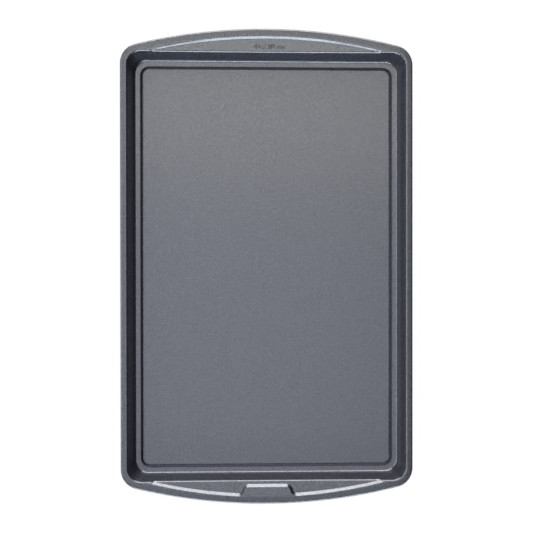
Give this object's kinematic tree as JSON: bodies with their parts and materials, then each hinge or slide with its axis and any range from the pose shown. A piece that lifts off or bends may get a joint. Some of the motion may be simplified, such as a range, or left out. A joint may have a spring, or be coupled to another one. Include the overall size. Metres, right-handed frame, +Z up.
{
  "type": "jelly roll pan",
  "caption": "Shallow rectangular steel baking pan with drafted walls, a raised floor panel, a rim rolled round a wire and an arched handle with a pressed crescent at each end.",
  "frame": {"origin": "under the middle of the pan, on the plane that its floor rests on", "axes": "+Z up out of the mouth, +Y along the pan towards the plain handle, +X across it to the right; the handle with the tab is at -Y"},
  "size_m": [0.2936, 0.4766, 0.0254],
  "materials": {
    "non_stick_steel": "dark grey metallic non-stick coating, satin",
    "rim_wire_steel": "bare drawn wire"
  },
  "bodies": {
    "root": {"pan_shell": "non_stick_steel", "rim_wire": "rim_wire_steel"}
  },
  "joints": []
}
